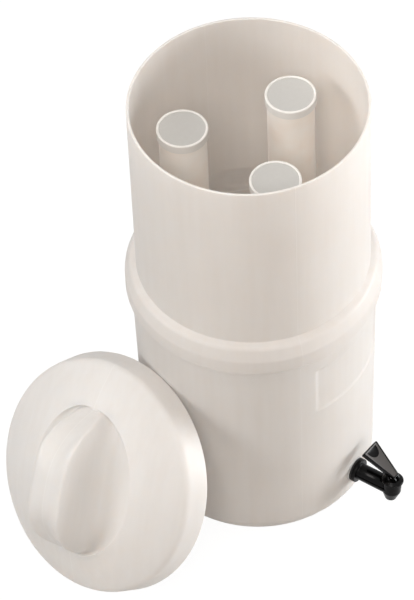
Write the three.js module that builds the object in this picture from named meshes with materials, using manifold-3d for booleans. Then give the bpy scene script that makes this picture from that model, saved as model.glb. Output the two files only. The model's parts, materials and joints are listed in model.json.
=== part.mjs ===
// Two-tier gravity water filter: stacked vessels, three ceramic candles, a lever tap and a domed lid
// Millimetres, +Z up, origin at the centre of the lower vessel's base, front towards -Y

import * as THREE from "three";
import { mergeVertices, toCreasedNormals } from "three/addons/utils/BufferGeometryUtils.js";
import Module from "manifold-3d";

const wasm = await Module();
wasm.setup();

// Gaps between pieces that touch
const seatGap = 0.3;
const overrun = 2;

// Lower vessel
const lowerHeight = 295.5;
const lowerBaseRadius = 129.7;
const lowerTopRadius = 133.4;
const lowerWall = 3;
const lowerCornerRadius = 24.1;
const lowerBeadHeight = 5.5;
const lowerBeadProud = 1.6;
const lowerBeadRounding = 1.4;
const panelBottom = 201;
const panelHeight = 72;
const panelDepth = 1.5;
const panelEdge = 3.5;
const panelStartAngle = -61.5;
const panelEndAngle = -8;

// Upper vessel
const upperRadius = 127.1;
const upperWall = 3;
const upperWallHeight = 231.2;
const collarRadius = 140;
const collarBandHeight = 18.1;
const collarSlopeHeight = 23.5;
const collarLipRounding = 4.4;
const collarSlopeRounding = 7;
const plugDepth = 27.5;
const plugClearance = 1.9;
const plugDraft = 1.5;
const plugCornerRadius = 10;
const upperRimRounding = 0.9;

// Ceramic candles
const candleCount = 3;
const candlePitchRadius = 71;
const candleFirstAngle = -69;
const candleHeight = 250;
const ceramicRadius = 25.5;
const ceramicWall = 8;
const mountCupWall = 2;
const mountCupHeight = 14;
const mountCupFloor = 4;
const capHeight = 10.5;
const capTop = 3;
const capEdgeRounding = 1.2;
const capLipWidth = 2.2;
const capLipHeight = 0.5;
const candleStemRadius = 6;
const candleStemBore = 2.5;
const candleStemLength = 38.6;
const stemClearance = 0.5;
const gasketRadius = 15;
const gasketThickness = 2.2;
const candleWasherRadius = 13;
const candleWasherThickness = 1.6;
const wingHubRadius = 9;
const wingHubHeight = 9;
const wingSpan = 44;
const wingRise = 6;
const wingTipHeight = 9;
const wingTipRounding = 3;
const wingThickness = 3.2;
const wingRootHeight = 7;

// Tap, laid out along its own axis, which runs outwards from the vessel's axis
const tapAngle = -34.8;
const tapRoll = -8.5;
const tapHeight = 46;
const tapPadRadius = 14.6;
const tapPadProud = 0.5;
const tapPadSink = 4.3;
const shankRadius = 7.8;
const shankBore = 5;
const shankReach = 14;
const tapWasherRadius = 13.8;
const outerWasherThickness = 1.8;
const innerWasherThickness = 1.8;
const tapNutRadius = 15;
const tapNutThickness = 8;
const flangeRadius = 14.2;
const flangeThickness = 4.6;
const flangeRounding = 1.2;
const barrelRadius = 9.7;
const ribWidth = 2.4;
const ribProud = 1.1;
const chamberReach = 46;
const chamberRadius = 10.8;
const chamberTop = 10;
const chamberBottom = 4;
const chamberBore = 7.4;
const valveSeatDrop = 6.5;
const spoutDrop = 15.8;
const spoutTipRadius = 6.3;
const spoutTipRounding = 2.6;
const spoutBore = 4.2;

// Valve inside the tap
const bonnetRadius = 12.5;
const bonnetHeight = 3.6;
const bonnetPlugDepth = 3;
const bonnetFlatRadius = 8.2;
const bonnetEdgeHeight = 2.2;
const bonnetRounding = 1.4;
const valveStemRadius = 2.4;
const valveStemClearance = 0.35;
const valveDiscRadius = 5.9;
const valveDiscThickness = 1.3;
const valveSealRadius = 6.6;
const valveSealThickness = 2.4;
const valveLift = 3;
const tongueThickness = 3.2;
const springRadius = 5;
const springWireRadius = 0.45;
const springTurns = 4.5;

// Lever that rides on the bonnet and lifts the valve stem by its cam
const leverRestAngle = 31.5;
const leverTurn = 58.5;
const leverBack = 41.5;
const leverFront = 2.7;
const leverBackWidth = 27;
const leverFrontWidth = 8.8;
const leverCornerRadius = 1.2;
const leverTop = 4.6;
const leverPlate = 1.9;
const leverBorder = 1.3;
const leverRecess = 0.6;
const leverSkirtDepth = 3;
const leverSkirtWall = 1.5;
const leverSkirtStart = 5;
const leverHeel = 3;
const leverHeelBack = 2;
const leverPinRadius = 1;
const leverPinClearance = 0.3;
const cheekGap = 0.7;
const cheekThickness = 2.1;
const cheekBack = 7;
const thumbRadius = 8.6;
const thumbLengthShare = 1.25;
const thumbDepth = 1.3;
const thumbInset = 2.6;

// Lid, laid out over its own rim plane with the grip along X
const lidRimRadius = 134.2;
const lidWall = 3;
const lidSkirtHeight = 23.2;
const lidSkirtDraft = 2.6;
const lidShoulderRadius = 11;
const lidShoulderSweep = 60;
const lidDomeHeight = 65;
const lidOvalLength = 172;
const lidOvalWidth = 142;
const lidPocketDepth = 15;
const gripHeight = 114;
const gripLength = 166;
const gripWidth = 45;
const gripArchLength = 172;
const gripArchPower = 3.4;
const gripPlanPower = 0.58;
const domeShares = [0.35, 0.7, 1];

// Rings from the oval's edge to the grip: shares of the way in, the pocket's depth and the rise
const pocketShares = [
  [0.12, 0.45, 0],
  [0.3, 0.9, 0],
  [0.5, 1, 0.02],
  [0.66, 1, 0.1],
  [0.78, 1, 0.27],
  [0.88, 1, 0.55],
  [0.95, 1, 0.82],
  [1, 1, 0.95],
];
// Rings over the grip's rounded top: shares of its length, its width and the rise to its arch
const crestShares = [
  [0.97, 0.93, 0.985],
  [0.8, 0.74, 1],
  [0.45, 0.42, 1],
  [0.16, 0.15, 1],
];

// How the lid leans on the lower vessel
const leanDirection = -143.6;
const leanFacing = -135.5;
const leanRise = 31.3;
const leanSpin = 13;

// A rounded corner takes at most this share of the shorter edge beside it
const roundingShare = 0.49;

// How finely round shapes are cut into flats
const vesselSides = 40;
const lidSides = 40;
const candleSides = 18;
const smallSides = 14;
const bareSides = 12;
const fewestCornerSteps = 2;
const mostCornerSteps = 5;
const shoulderSteps = 2;
const camSteps = 6;
const springStepsPerTurn = 8;
const springSides = 5;
const rimSamples = 720;
const halvings = 40;

const rad = THREE.MathUtils.degToRad;
const lerp = THREE.MathUtils.lerp;
const fullTurn = Math.PI * 2;
const quarterTurn = Math.PI / 2;

// Shape tools

// Rounds the corners of an open outline whose points are [x, y, corner radius]
function rounded(corners) {
  return corners.flatMap(([x, y, radius = 0], i) => {
    const corner = new THREE.Vector2(x, y);
    if (!radius) return [corner];
    const steps = THREE.MathUtils.clamp(Math.round(Math.sqrt(radius)), fewestCornerSteps, mostCornerSteps);
    const before = new THREE.Vector2(...corners[i - 1].slice(0, 2)).sub(corner);
    const after = new THREE.Vector2(...corners[i + 1].slice(0, 2)).sub(corner);
    const shortest = Math.min(before.length(), after.length());
    const half = Math.abs(wrapped(after.angle() - before.angle())) / 2;
    const reach = Math.min(radius / Math.tan(half), shortest * roundingShare);
    const fitted = reach * Math.tan(half);
    const inwards = before.clone().normalize().add(after.clone().normalize()).normalize();
    const centre = corner.clone().addScaledVector(inwards, fitted / Math.sin(half));
    const from = corner.clone().addScaledVector(before.normalize(), reach).sub(centre).angle();
    const to = corner.clone().addScaledVector(after.normalize(), reach).sub(centre).angle();
    const sweep = wrapped(to - from);
    return Array.from({ length: steps + 1 }, (_, step) => {
      const angle = from + (sweep * step) / steps;
      return new THREE.Vector2(Math.cos(angle), Math.sin(angle)).multiplyScalar(fitted).add(centre);
    });
  });
}

// An angle brought into the half turn either way of zero
function wrapped(angle) {
  return THREE.MathUtils.euclideanModulo(angle + Math.PI, fullTurn) - Math.PI;
}

// A closed skin over rings of equally many points, between one end point and another
function loft(start, rings, end) {
  const count = rings[0].length;
  const points = [start, ...rings.flat(), end];
  const last = points.length - 1;
  const at = (ring, i) => 1 + ring * count + (i % count);
  const faces = [];
  for (let i = 0; i < count; i++) {
    faces.push(0, at(0, i + 1), at(0, i));
    for (let ring = 0; ring + 1 < rings.length; ring++) {
      faces.push(at(ring, i), at(ring, i + 1), at(ring + 1, i + 1));
      faces.push(at(ring, i), at(ring + 1, i + 1), at(ring + 1, i));
    }
    faces.push(at(rings.length - 1, i), at(rings.length - 1, i + 1), last);
  }
  const geometry = new THREE.BufferGeometry().setFromPoints(points);
  geometry.setIndex(faces);
  return geometry;
}

// A profile of [radius, height, corner radius] turned about Z
function turned(profile, sides) {
  return new THREE.LatheGeometry(rounded(profile), sides).rotateX(quarterTurn);
}

// The same, turned about X, with heights running along X
function turnedAlongX(profile, sides) {
  return turned(profile, sides).rotateY(quarterTurn);
}

// A ring with flat faces between two heights
function flatRing(outer, inner, low, high, sides) {
  return turned([[inner, low], [outer, low], [outer, high], [inner, high], [inner, low]], sides);
}

// A rod along Z between two heights
function rod(radius, low, high, sides) {
  return turned([[0, low], [radius, low], [radius, high], [0, high]], sides);
}

// A rod along X between two distances
function rodAlongX(radius, near, far, sides) {
  return rod(radius, near, far, sides).rotateY(quarterTurn);
}

// A box given by its lowest and highest corners
function block(low, high) {
  const size = high.map((value, i) => value - low[i]);
  const middle = high.map((value, i) => (value + low[i]) / 2);
  return new THREE.BoxGeometry(...size).translate(...middle);
}

// A flat outline in X and Y raised from one height to another
function raised(outline, low, high) {
  const shape = new THREE.Shape(outline);
  const settings = { depth: high - low, bevelEnabled: false, curveSegments: 1 };
  return new THREE.ExtrudeGeometry(shape, settings).translate(0, 0, low);
}

// An outline in X and Z given a thickness along Y
function raisedAlongY(outline, near, far) {
  const standing = outline.map((point) => new THREE.Vector2(point.x, -point.y));
  return raised(standing.reverse(), near, far).rotateX(-quarterTurn);
}

// A closed geometry as a solid that can be joined and cut
function solid(geometry) {
  const bare = new THREE.BufferGeometry();
  bare.setAttribute("position", geometry.getAttribute("position"));
  bare.setIndex(geometry.index);
  const merged = mergeVertices(bare);
  const mesh = new wasm.Mesh({
    numProp: 3,
    vertProperties: new Float32Array(merged.getAttribute("position").array),
    triVerts: new Uint32Array(merged.index.array),
  });
  return new wasm.Manifold(mesh);
}

const join = (first, ...others) => others.reduce((whole, other) => whole.add(solid(other)), solid(first));
const cut = (whole, ...tools) => tools.reduce((rest, tool) => rest.subtract(solid(tool)), whole);

// A solid back as a geometry with smooth faces and sharp edges
function shown(whole) {
  const { vertProperties, triVerts } = whole.getMesh();
  const geometry = new THREE.BufferGeometry();
  geometry.setAttribute("position", new THREE.BufferAttribute(vertProperties, 3));
  geometry.setIndex(new THREE.BufferAttribute(triVerts, 1));
  return toCreasedNormals(geometry);
}

function named(name, geometry, material) {
  const mesh = new THREE.Mesh(geometry, material());
  mesh.name = name;
  return mesh;
}

// Materials

const milkyPlastic = () => new THREE.MeshStandardMaterial({ color: 0xded6cf, roughness: 0.55 });
const porousCeramic = () => new THREE.MeshStandardMaterial({ color: 0xf1dfcc, roughness: 0.9 });
const palePlastic = () => new THREE.MeshStandardMaterial({ color: 0xc6c2be, roughness: 0.6 });
const blackPlastic = () => new THREE.MeshStandardMaterial({ color: 0x1b1a1a, roughness: 0.35 });
const blackRubber = () => new THREE.MeshStandardMaterial({ color: 0x2a2a2a, roughness: 0.85 });
const whiteRubber = () => new THREE.MeshStandardMaterial({ color: 0xd8d4cf, roughness: 0.8 });
const springSteel = () =>
  new THREE.MeshStandardMaterial({ color: 0xb8b8b6, roughness: 0.3, metalness: 1 });

// Lower vessel: a moulded pot with a blank recessed panel, a rolled rim and a flat pad for the tap

const lowerBeadBottom = lowerHeight - lowerBeadHeight;
const lowerRadiusAt = (z) => lerp(lowerBaseRadius, lowerTopRadius, z / lowerBeadBottom);

function panelRelief(angle, z) {
  const middle = (panelStartAngle + panelEndAngle) / 2;
  const halfWidth = (rad(panelEndAngle - panelStartAngle) / 2) * lowerTopRadius;
  const across = halfWidth - Math.abs(wrapped(angle - rad(middle))) * lowerTopRadius;
  const along = Math.min(z - panelBottom, panelBottom + panelHeight - z);
  const inside = Math.min(across, along) / panelEdge;
  return panelDepth * THREE.MathUtils.clamp(inside, 0, 1);
}

function lowerProfile() {
  const panelTop = panelBottom + panelHeight;
  const wallHeights = [panelBottom, panelBottom + panelEdge, panelTop - panelEdge, panelTop];
  const outerWall = wallHeights.map((z) => [lowerRadiusAt(z), z]);
  const innerWall = wallHeights.map((z) => [lowerRadiusAt(z) - lowerWall, z]).reverse();
  const innerCorner = lowerCornerRadius - lowerWall;
  const beadRadius = lowerTopRadius + lowerBeadProud;
  return rounded([
    [0, 0],
    [lowerBaseRadius, 0, lowerCornerRadius],
    ...outerWall,
    [lowerTopRadius, lowerBeadBottom],
    [beadRadius, lowerBeadBottom + lowerBeadProud, lowerBeadRounding],
    [beadRadius, lowerHeight, lowerBeadRounding],
    [lowerTopRadius - lowerWall, lowerHeight],
    ...innerWall,
    [lowerBaseRadius - lowerWall, lowerWall, innerCorner],
    [0, lowerWall],
  ]);
}

function lowerVessel() {
  const edgeAngle = panelEdge / lowerTopRadius;
  const panelAngles = [
    rad(panelStartAngle),
    rad(panelStartAngle) + edgeAngle,
    rad(panelEndAngle) - edgeAngle,
    rad(panelEndAngle),
  ];
  const evenAngles = Array.from({ length: vesselSides }, (_, i) => (i * fullTurn) / vesselSides - Math.PI);
  const clearOfPanelEdges = evenAngles.filter((angle) =>
    panelAngles.every((other) => Math.abs(other - angle) > edgeAngle / 2));
  const angles = [...clearOfPanelEdges, ...panelAngles].sort((a, b) => a - b);
  const profile = lowerProfile();
  const rings = profile.slice(1, -1).map((point) =>
    angles.map((angle) => {
      const radius = point.x - panelRelief(angle, point.y);
      return new THREE.Vector3(radius * Math.cos(angle), radius * Math.sin(angle), point.y);
    }));
  const start = new THREE.Vector3(0, 0, profile[0].y);
  const end = new THREE.Vector3(0, 0, profile.at(-1).y);
  const pot = loft(start, rings, end);
  const pad = inTapFrame(rodAlongX(tapPadRadius, tapPadInner, tapPadOuter, candleSides));
  const hole = shankRadius + stemClearance;
  const bore = inTapFrame(rodAlongX(hole, tapPadInner - overrun, tapPadOuter + overrun, smallSides));
  return shown(cut(join(pot, pad), bore));
}

// Tap frame: X outwards from the vessel's axis, rolled a little about itself

const tapPadOuter = lowerRadiusAt(tapHeight) + tapPadProud;
const tapPadInner = tapPadOuter - tapPadProud - tapPadSink;

function tapMatrix() {
  const turn = new THREE.Matrix4().makeRotationZ(rad(tapAngle));
  const roll = new THREE.Matrix4().makeRotationX(rad(tapRoll));
  return new THREE.Matrix4().makeTranslation(0, 0, tapHeight).multiply(turn).multiply(roll);
}

const inTapFrame = (geometry) => geometry.applyMatrix4(tapMatrix());

// Upper vessel: a straight drum whose hollow collar sits on the lower rim, with a plug below it

const upperSeat = lowerHeight + seatGap;
const upperBottom = lowerHeight - plugDepth;
const upperFloor = upperBottom + upperWall;
const collarBandTop = lowerHeight + collarBandHeight;
const collarSlopeTop = collarBandTop + collarSlopeHeight;
const upperRim = collarSlopeTop + upperWallHeight;
const plugTopRadius = lowerTopRadius - lowerWall - plugClearance;
const plugBottomRadius = plugTopRadius - plugDraft;

function upperVessel() {
  const slope = Math.atan2(collarRadius - upperRadius, collarSlopeHeight);
  const drop = upperWall * Math.tan(slope / 2);
  const innerRounding = Math.max(collarSlopeRounding - upperWall, upperWall);
  const profile = [
    [0, upperBottom],
    [plugBottomRadius, upperBottom, plugCornerRadius],
    [plugTopRadius, upperSeat],
    [collarRadius, upperSeat, collarLipRounding],
    [collarRadius, collarBandTop, collarSlopeRounding],
    [upperRadius, collarSlopeTop, collarSlopeRounding],
    [upperRadius, upperRim, upperRimRounding],
    [upperRadius - upperWall, upperRim, upperRimRounding],
    [upperRadius - upperWall, collarSlopeTop - drop, innerRounding],
    [collarRadius - upperWall, collarBandTop - drop, innerRounding],
    [collarRadius - upperWall, upperSeat + upperWall, collarLipRounding - upperWall],
    [plugTopRadius - upperWall, upperSeat + upperWall],
    [plugBottomRadius - upperWall, upperFloor, plugCornerRadius - upperWall],
    [0, upperFloor],
  ];
  const drum = solid(turned(profile, vesselSides));
  const holes = candlePlaces().map(({ x, y }) => {
    const hole = rod(candleStemRadius + stemClearance, upperBottom - overrun, upperFloor + overrun, smallSides);
    return hole.translate(x, y, 0);
  });
  return shown(cut(drum, ...holes));
}

// Candles: ceramic tubes between a cap and a threaded mount, held by wing nuts under the floor

function candlePlaces() {
  return Array.from({ length: candleCount }, (_, i) => {
    const angle = rad(candleFirstAngle) + (i * fullTurn) / candleCount;
    return { x: candlePitchRadius * Math.cos(angle), y: candlePitchRadius * Math.sin(angle), angle };
  });
}

const gasketBottom = upperFloor + seatGap;
const mountBottom = gasketBottom + gasketThickness + seatGap;
const candleTop = mountBottom + candleHeight;
const mountRadius = ceramicRadius + mountCupWall;
const ceramicBottom = mountBottom + mountCupFloor + seatGap;
const ceramicTop = candleTop - capTop - seatGap;
const stemBottom = mountBottom - candleStemLength;
const candleWasherTop = upperBottom - seatGap;
const wingNutTop = candleWasherTop - candleWasherThickness - seatGap;

function candleCap() {
  const under = candleTop - capTop;
  const skirtBottom = candleTop - capHeight;
  return turned([
    [0, under],
    [ceramicRadius + seatGap, under],
    [ceramicRadius + seatGap, skirtBottom],
    [mountRadius, skirtBottom],
    [mountRadius, candleTop, capEdgeRounding],
    [mountRadius - capLipWidth, candleTop],
    [mountRadius - capLipWidth, candleTop - capLipHeight],
    [0, candleTop - capLipHeight],
  ], candleSides);
}

function candleCeramic() {
  return flatRing(ceramicRadius, ceramicRadius - ceramicWall, ceramicBottom, ceramicTop, candleSides);
}

function candleMount() {
  const cupTop = mountBottom + mountCupHeight;
  const cupFloor = mountBottom + mountCupFloor;
  return turned([
    [candleStemBore, stemBottom],
    [candleStemRadius, stemBottom],
    [candleStemRadius, mountBottom],
    [mountRadius, mountBottom, capEdgeRounding],
    [mountRadius, cupTop],
    [ceramicRadius + seatGap, cupTop],
    [ceramicRadius + seatGap, cupFloor],
    [candleStemBore, cupFloor],
    [candleStemBore, stemBottom],
  ], candleSides);
}

function candleGasket() {
  const top = gasketBottom + gasketThickness;
  return flatRing(gasketRadius, candleStemRadius + seatGap, gasketBottom, top, smallSides);
}

function candleWasher() {
  const low = candleWasherTop - candleWasherThickness;
  return flatRing(candleWasherRadius, candleStemRadius + seatGap, low, candleWasherTop, smallSides);
}

function wingNut() {
  const low = wingNutTop - wingHubHeight;
  const tip = wingSpan / 2;
  const wing = rounded([
    [0, low],
    [tip, low - wingRise, wingTipRounding],
    [tip, low - wingRise + wingTipHeight, wingTipRounding],
    [0, low + wingRootHeight],
  ]);
  const right = raisedAlongY(wing, -wingThickness / 2, wingThickness / 2);
  const left = right.clone().rotateZ(Math.PI);
  const hub = rod(wingHubRadius, low, wingNutTop, smallSides);
  const bore = rod(candleStemRadius + seatGap, low - wingRise - overrun, wingNutTop + overrun, smallSides);
  return shown(cut(join(hub, right, left), bore));
}

function candle(number, place) {
  const group = new THREE.Group();
  group.position.set(place.x, place.y, 0);
  group.rotation.z = place.angle;
  group.add(
    named(`candle_ceramic_${number}`, candleCeramic(), porousCeramic),
    named(`candle_cap_${number}`, candleCap(), palePlastic),
    named(`candle_mount_${number}`, candleMount(), palePlastic),
    named(`candle_gasket_${number}`, candleGasket(), whiteRubber),
    named(`candle_washer_${number}`, candleWasher(), palePlastic),
    named(`candle_wing_nut_${number}`, wingNut(), palePlastic),
  );
  return group;
}

// Tap: a flanged body with a valve chamber and a spout, clamped through the vessel's wall

const washerInner = tapPadOuter + seatGap;
const flangeInner = washerInner + outerWasherThickness + seatGap;
const flangeOuter = flangeInner + flangeThickness;
const chamberCentre = flangeInner + chamberReach;
const shankEnd = tapPadInner - shankReach;
const innerWasherOuter = tapPadInner - seatGap;
const tapNutOuter = innerWasherOuter - innerWasherThickness - seatGap;

function tapBody() {
  const shank = rodAlongX(shankRadius, shankEnd, flangeOuter, smallSides);
  const flange = turnedAlongX([
    [0, flangeInner],
    [flangeRadius, flangeInner],
    [flangeRadius, flangeOuter, flangeRounding],
    [0, flangeOuter],
  ], candleSides);
  const barrel = rodAlongX(barrelRadius, flangeOuter - flangeRounding, chamberCentre, smallSides);
  const ribs = block(
    [flangeOuter - flangeRounding, -barrelRadius - ribProud, -ribWidth / 2],
    [chamberCentre, barrelRadius + ribProud, ribWidth / 2],
  );
  const chamber = turned([
    [0, -spoutDrop],
    [spoutTipRadius, -spoutDrop, spoutTipRounding],
    [chamberRadius, -chamberBottom, chamberBottom],
    [chamberRadius, chamberTop],
    [0, chamberTop],
  ], candleSides).translate(chamberCentre, 0, 0);
  const inlet = rodAlongX(shankBore, shankEnd - overrun, chamberCentre, bareSides);
  const well = rod(chamberBore, -valveSeatDrop, chamberTop + overrun, smallSides);
  const outlet = rod(spoutBore, -spoutDrop - overrun, chamberTop, smallSides);
  const body = join(shank, flange, barrel, ribs, chamber);
  const tools = [inlet, well.translate(chamberCentre, 0, 0), outlet.translate(chamberCentre, 0, 0)];
  return shown(cut(body, ...tools));
}

const outerWasher = () =>
  flatRing(tapWasherRadius, shankRadius + seatGap, washerInner, washerInner + outerWasherThickness, smallSides)
    .rotateY(quarterTurn);

const innerWasher = () =>
  flatRing(
    tapWasherRadius,
    shankRadius + seatGap,
    innerWasherOuter - innerWasherThickness,
    innerWasherOuter,
    smallSides,
  ).rotateY(quarterTurn);

function tapNut() {
  const hexagon = rodAlongX(tapNutRadius, tapNutOuter - tapNutThickness, tapNutOuter, 6);
  const near = tapNutOuter - tapNutThickness - overrun;
  const bore = rodAlongX(shankRadius + seatGap, near, tapNutOuter + overrun, smallSides);
  return shown(cut(solid(hexagon), bore));
}

// Valve: bonnet, spring, stem and seal on the chamber's own axis

const bonnetBottom = chamberTop + seatGap;
const bonnetTop = bonnetBottom + bonnetHeight;
const sealBottom = -valveSeatDrop + seatGap;
const discBottom = sealBottom + valveSealThickness + seatGap;
const discTop = discBottom + valveDiscThickness;
const springBottom = discTop + seatGap;
const springTop = bonnetBottom - bonnetPlugDepth - seatGap;
const pinHeight = bonnetTop + seatGap + leverHeel;
const tongueBottom = bonnetTop - valveLift;

function bonnet() {
  const hole = valveStemRadius + valveStemClearance;
  const plug = chamberBore - seatGap;
  return turned([
    [hole, bonnetBottom - bonnetPlugDepth],
    [plug, bonnetBottom - bonnetPlugDepth],
    [plug, bonnetBottom],
    [bonnetRadius, bonnetBottom],
    [bonnetRadius, bonnetBottom + bonnetEdgeHeight, bonnetRounding],
    [bonnetFlatRadius, bonnetTop],
    [hole, bonnetTop],
    [hole, bonnetBottom - bonnetPlugDepth],
  ], smallSides);
}

function valveStem() {
  const disc = rod(valveDiscRadius, discBottom, discTop, smallSides);
  const shaft = rod(valveStemRadius, discTop - valveDiscThickness / 2, pinHeight, bareSides);
  const eye = rod(valveStemRadius, -tongueThickness / 2, tongueThickness / 2, bareSides)
    .rotateX(quarterTurn)
    .translate(0, 0, pinHeight);
  const flats = [-1, 1].map((side) => {
    const inner = (side * tongueThickness) / 2;
    const outer = side * (valveStemRadius + overrun);
    return block(
      [-valveStemRadius - overrun, Math.min(inner, outer), tongueBottom],
      [valveStemRadius + overrun, Math.max(inner, outer), pinHeight + overrun],
    );
  });
  const hole = rod(leverPinRadius + leverPinClearance, -valveStemRadius, valveStemRadius, bareSides)
    .rotateX(quarterTurn)
    .translate(0, 0, pinHeight);
  return shown(cut(join(disc, shaft, eye), ...flats, hole));
}

const valveSeal = () => rod(valveSealRadius, sealBottom, sealBottom + valveSealThickness, smallSides);

// One unbroken coil of wire between the stem's disc and the bonnet
function valveSpring() {
  const steps = Math.round(springTurns * springStepsPerTurn);
  const low = springBottom + springWireRadius;
  const high = springTop - springWireRadius;
  const centreAt = (share) => {
    const angle = share * springTurns * fullTurn;
    const height = lerp(low, high, share);
    return new THREE.Vector3(springRadius * Math.cos(angle), springRadius * Math.sin(angle), height);
  };
  const ringAt = (share) => {
    const angle = share * springTurns * fullTurn;
    const outwards = new THREE.Vector3(Math.cos(angle), Math.sin(angle), 0);
    return Array.from({ length: springSides }, (_, i) => {
      const around = (i * fullTurn) / springSides;
      return centreAt(share)
        .addScaledVector(outwards, springWireRadius * Math.cos(around))
        .add(new THREE.Vector3(0, 0, springWireRadius * Math.sin(around)));
    });
  };
  const rings = Array.from({ length: steps + 1 }, (_, i) => ringAt(i / steps).reverse());
  return loft(centreAt(0), rings, centreAt(1));
}

// Lever, about its pin: the front end has the cam, the wide end points back over the barrel

const leverPlateBottom = leverTop - leverPlate;
const cheekInner = tongueThickness / 2 + cheekGap;
const pinLength = 2 * (cheekInner + cheekThickness);
const leverHalfWidthAt = (x) =>
  lerp(leverFrontWidth, leverBackWidth, (leverFront - x) / (leverFront + leverBack)) / 2;

// The lever's tapered outline, drawn in by an inset, from a front to a back distance
function leverOutline(inset, front) {
  const near = front - inset;
  const far = -leverBack + inset;
  const nearHalf = leverHalfWidthAt(near) - inset;
  const farHalf = leverHalfWidthAt(far) - inset;
  const corner = Math.max(leverCornerRadius - inset / 2, leverCornerRadius / 2);
  const points = rounded([
    [near, 0],
    [near, nearHalf, corner],
    [far, farHalf, corner],
    [far, -farHalf, corner],
    [near, -nearHalf, corner],
    [near, 0],
  ]);
  return points.slice(1);
}

// The heel's cam lifts the pin at a steady rate as the lever turns: its flat follower is the bonnet's top
function cheekOutline() {
  const rise = valveLift / rad(leverTurn);
  const camPoint = (turn) => {
    const angle = turn + rad(leverRestAngle);
    const normal = new THREE.Vector2(Math.sin(angle), -Math.cos(angle));
    const along = new THREE.Vector2(Math.cos(angle), Math.sin(angle));
    return normal.multiplyScalar(leverHeel + rise * turn).addScaledVector(along, rise);
  };
  const cam = Array.from({ length: camSteps + 1 }, (_, i) => camPoint((rad(leverTurn) * i) / camSteps));
  const restAngle = rad(leverRestAngle);
  const heelEnd = new THREE.Vector2(Math.sin(restAngle), -Math.cos(restAngle))
    .multiplyScalar(leverHeel)
    .addScaledVector(new THREE.Vector2(Math.cos(restAngle), Math.sin(restAngle)), -leverHeelBack);
  const plateMiddle = leverTop - leverPlate / 2;
  return [
    heelEnd,
    ...cam,
    new THREE.Vector2(leverFront, plateMiddle),
    new THREE.Vector2(-cheekBack, plateMiddle),
    new THREE.Vector2(-cheekBack, leverPlateBottom - leverSkirtDepth / 2),
  ];
}

function tapLever() {
  const plate = raised(leverOutline(0, leverFront), leverPlateBottom, leverTop);
  const skirtBottom = leverPlateBottom - leverSkirtDepth;
  const skirt = raised(leverOutline(0, -leverSkirtStart), skirtBottom, leverPlateBottom + leverPlate / 2);
  const hollow = raised(
    leverOutline(leverSkirtWall, -leverSkirtStart),
    skirtBottom - overrun,
    leverPlateBottom,
  );
  const cheeks = [-1, 1].map((side) => {
    const inner = side * cheekInner;
    const outer = side * (cheekInner + cheekThickness);
    return raisedAlongY(cheekOutline(), Math.min(inner, outer), Math.max(inner, outer));
  });
  const recess = raised(leverOutline(leverBorder, leverFront), leverTop - leverRecess, leverTop + overrun);
  const thumbBack = -leverBack + thumbInset;
  const thumb = [new THREE.Vector2(thumbBack, -thumbRadius), new THREE.Vector2(thumbBack, thumbRadius)];
  const thumbArc = Array.from({ length: bareSides - 1 }, (_, i) => {
    const angle = quarterTurn - (Math.PI * (i + 1)) / bareSides;
    const reach = thumbLengthShare * thumbRadius * Math.cos(angle);
    return new THREE.Vector2(thumbBack + reach, thumbRadius * Math.sin(angle));
  });
  const dish = raised([...thumb, ...thumbArc].reverse(), leverTop - thumbDepth, leverTop + overrun);
  const hole = rod(leverPinRadius + leverPinClearance, -pinLength, pinLength, bareSides).rotateX(quarterTurn);
  const openSkirt = cut(solid(skirt), hollow);
  const body = cheeks.reduce((whole, cheek) => whole.add(solid(cheek)), solid(plate).add(openSkirt));
  return shown(cut(body, recess, dish, hole));
}

const leverPin = () => rod(leverPinRadius, -pinLength / 2, pinLength / 2, bareSides).rotateX(quarterTurn);

function tap() {
  const group = new THREE.Group();
  group.applyMatrix4(tapMatrix());
  group.add(
    named("tap_body", tapBody(), blackPlastic),
    named("tap_outer_washer", outerWasher(), blackRubber),
    named("tap_inner_washer", innerWasher(), blackRubber),
    named("tap_nut", tapNut(), blackPlastic),
  );
  const valve = new THREE.Group();
  valve.position.x = chamberCentre;
  valve.add(
    named("tap_bonnet", bonnet(), blackPlastic),
    named("valve_spring", valveSpring(), springSteel),
    named("valve_stem", valveStem(), blackPlastic),
    named("valve_seal", valveSeal(), blackRubber),
  );
  const pivot = new THREE.Group();
  pivot.position.z = pinHeight;
  pivot.rotation.y = rad(leverRestAngle);
  pivot.add(named("tap_lever", tapLever(), blackPlastic), named("lever_pin", leverPin(), springSteel));
  valve.add(pivot);
  group.add(valve);
  return group;
}

// Lid: a single moulded skin, lofted from the rim over the dome and into the grip between two pockets

const shoulderTop = {
  radius: lidRimRadius - lidSkirtDraft - lidShoulderRadius * (1 - Math.cos(rad(lidShoulderSweep))),
  height: lidSkirtHeight + lidShoulderRadius * Math.sin(rad(lidShoulderSweep)),
};

// The dome starts tangent to the shoulder and flattens towards its crown
function domeHeight(radius) {
  const rise = lidDomeHeight - shoulderTop.height;
  const edgeSlope = 1 / Math.tan(rad(lidShoulderSweep));
  const power = (edgeSlope * shoulderTop.radius) / rise;
  return shoulderTop.height + rise * (1 - Math.min(radius / shoulderTop.radius, 1) ** power);
}

// One ring of the lid: an oval that grows squarer as its power falls below 1
function lidRing(halfLength, halfWidth, power, heightAt) {
  return Array.from({ length: lidSides }, (_, i) => {
    const angle = (i * fullTurn) / lidSides;
    const bent = (value) => Math.sign(value) * Math.abs(value) ** power;
    const x = halfLength * bent(Math.cos(angle));
    const y = halfWidth * bent(Math.sin(angle));
    return new THREE.Vector3(x, y, heightAt(x, y));
  });
}

const domeAt = (x, y) => domeHeight(Math.hypot(x, y));

// The height of the grip's arch above the rim, along the grip
function archAt(x) {
  const springing = domeHeight(gripArchLength / 2);
  const away = Math.min(Math.abs(x) / (gripArchLength / 2), 1);
  return lerp(gripHeight, springing, away ** gripArchPower);
}

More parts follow.
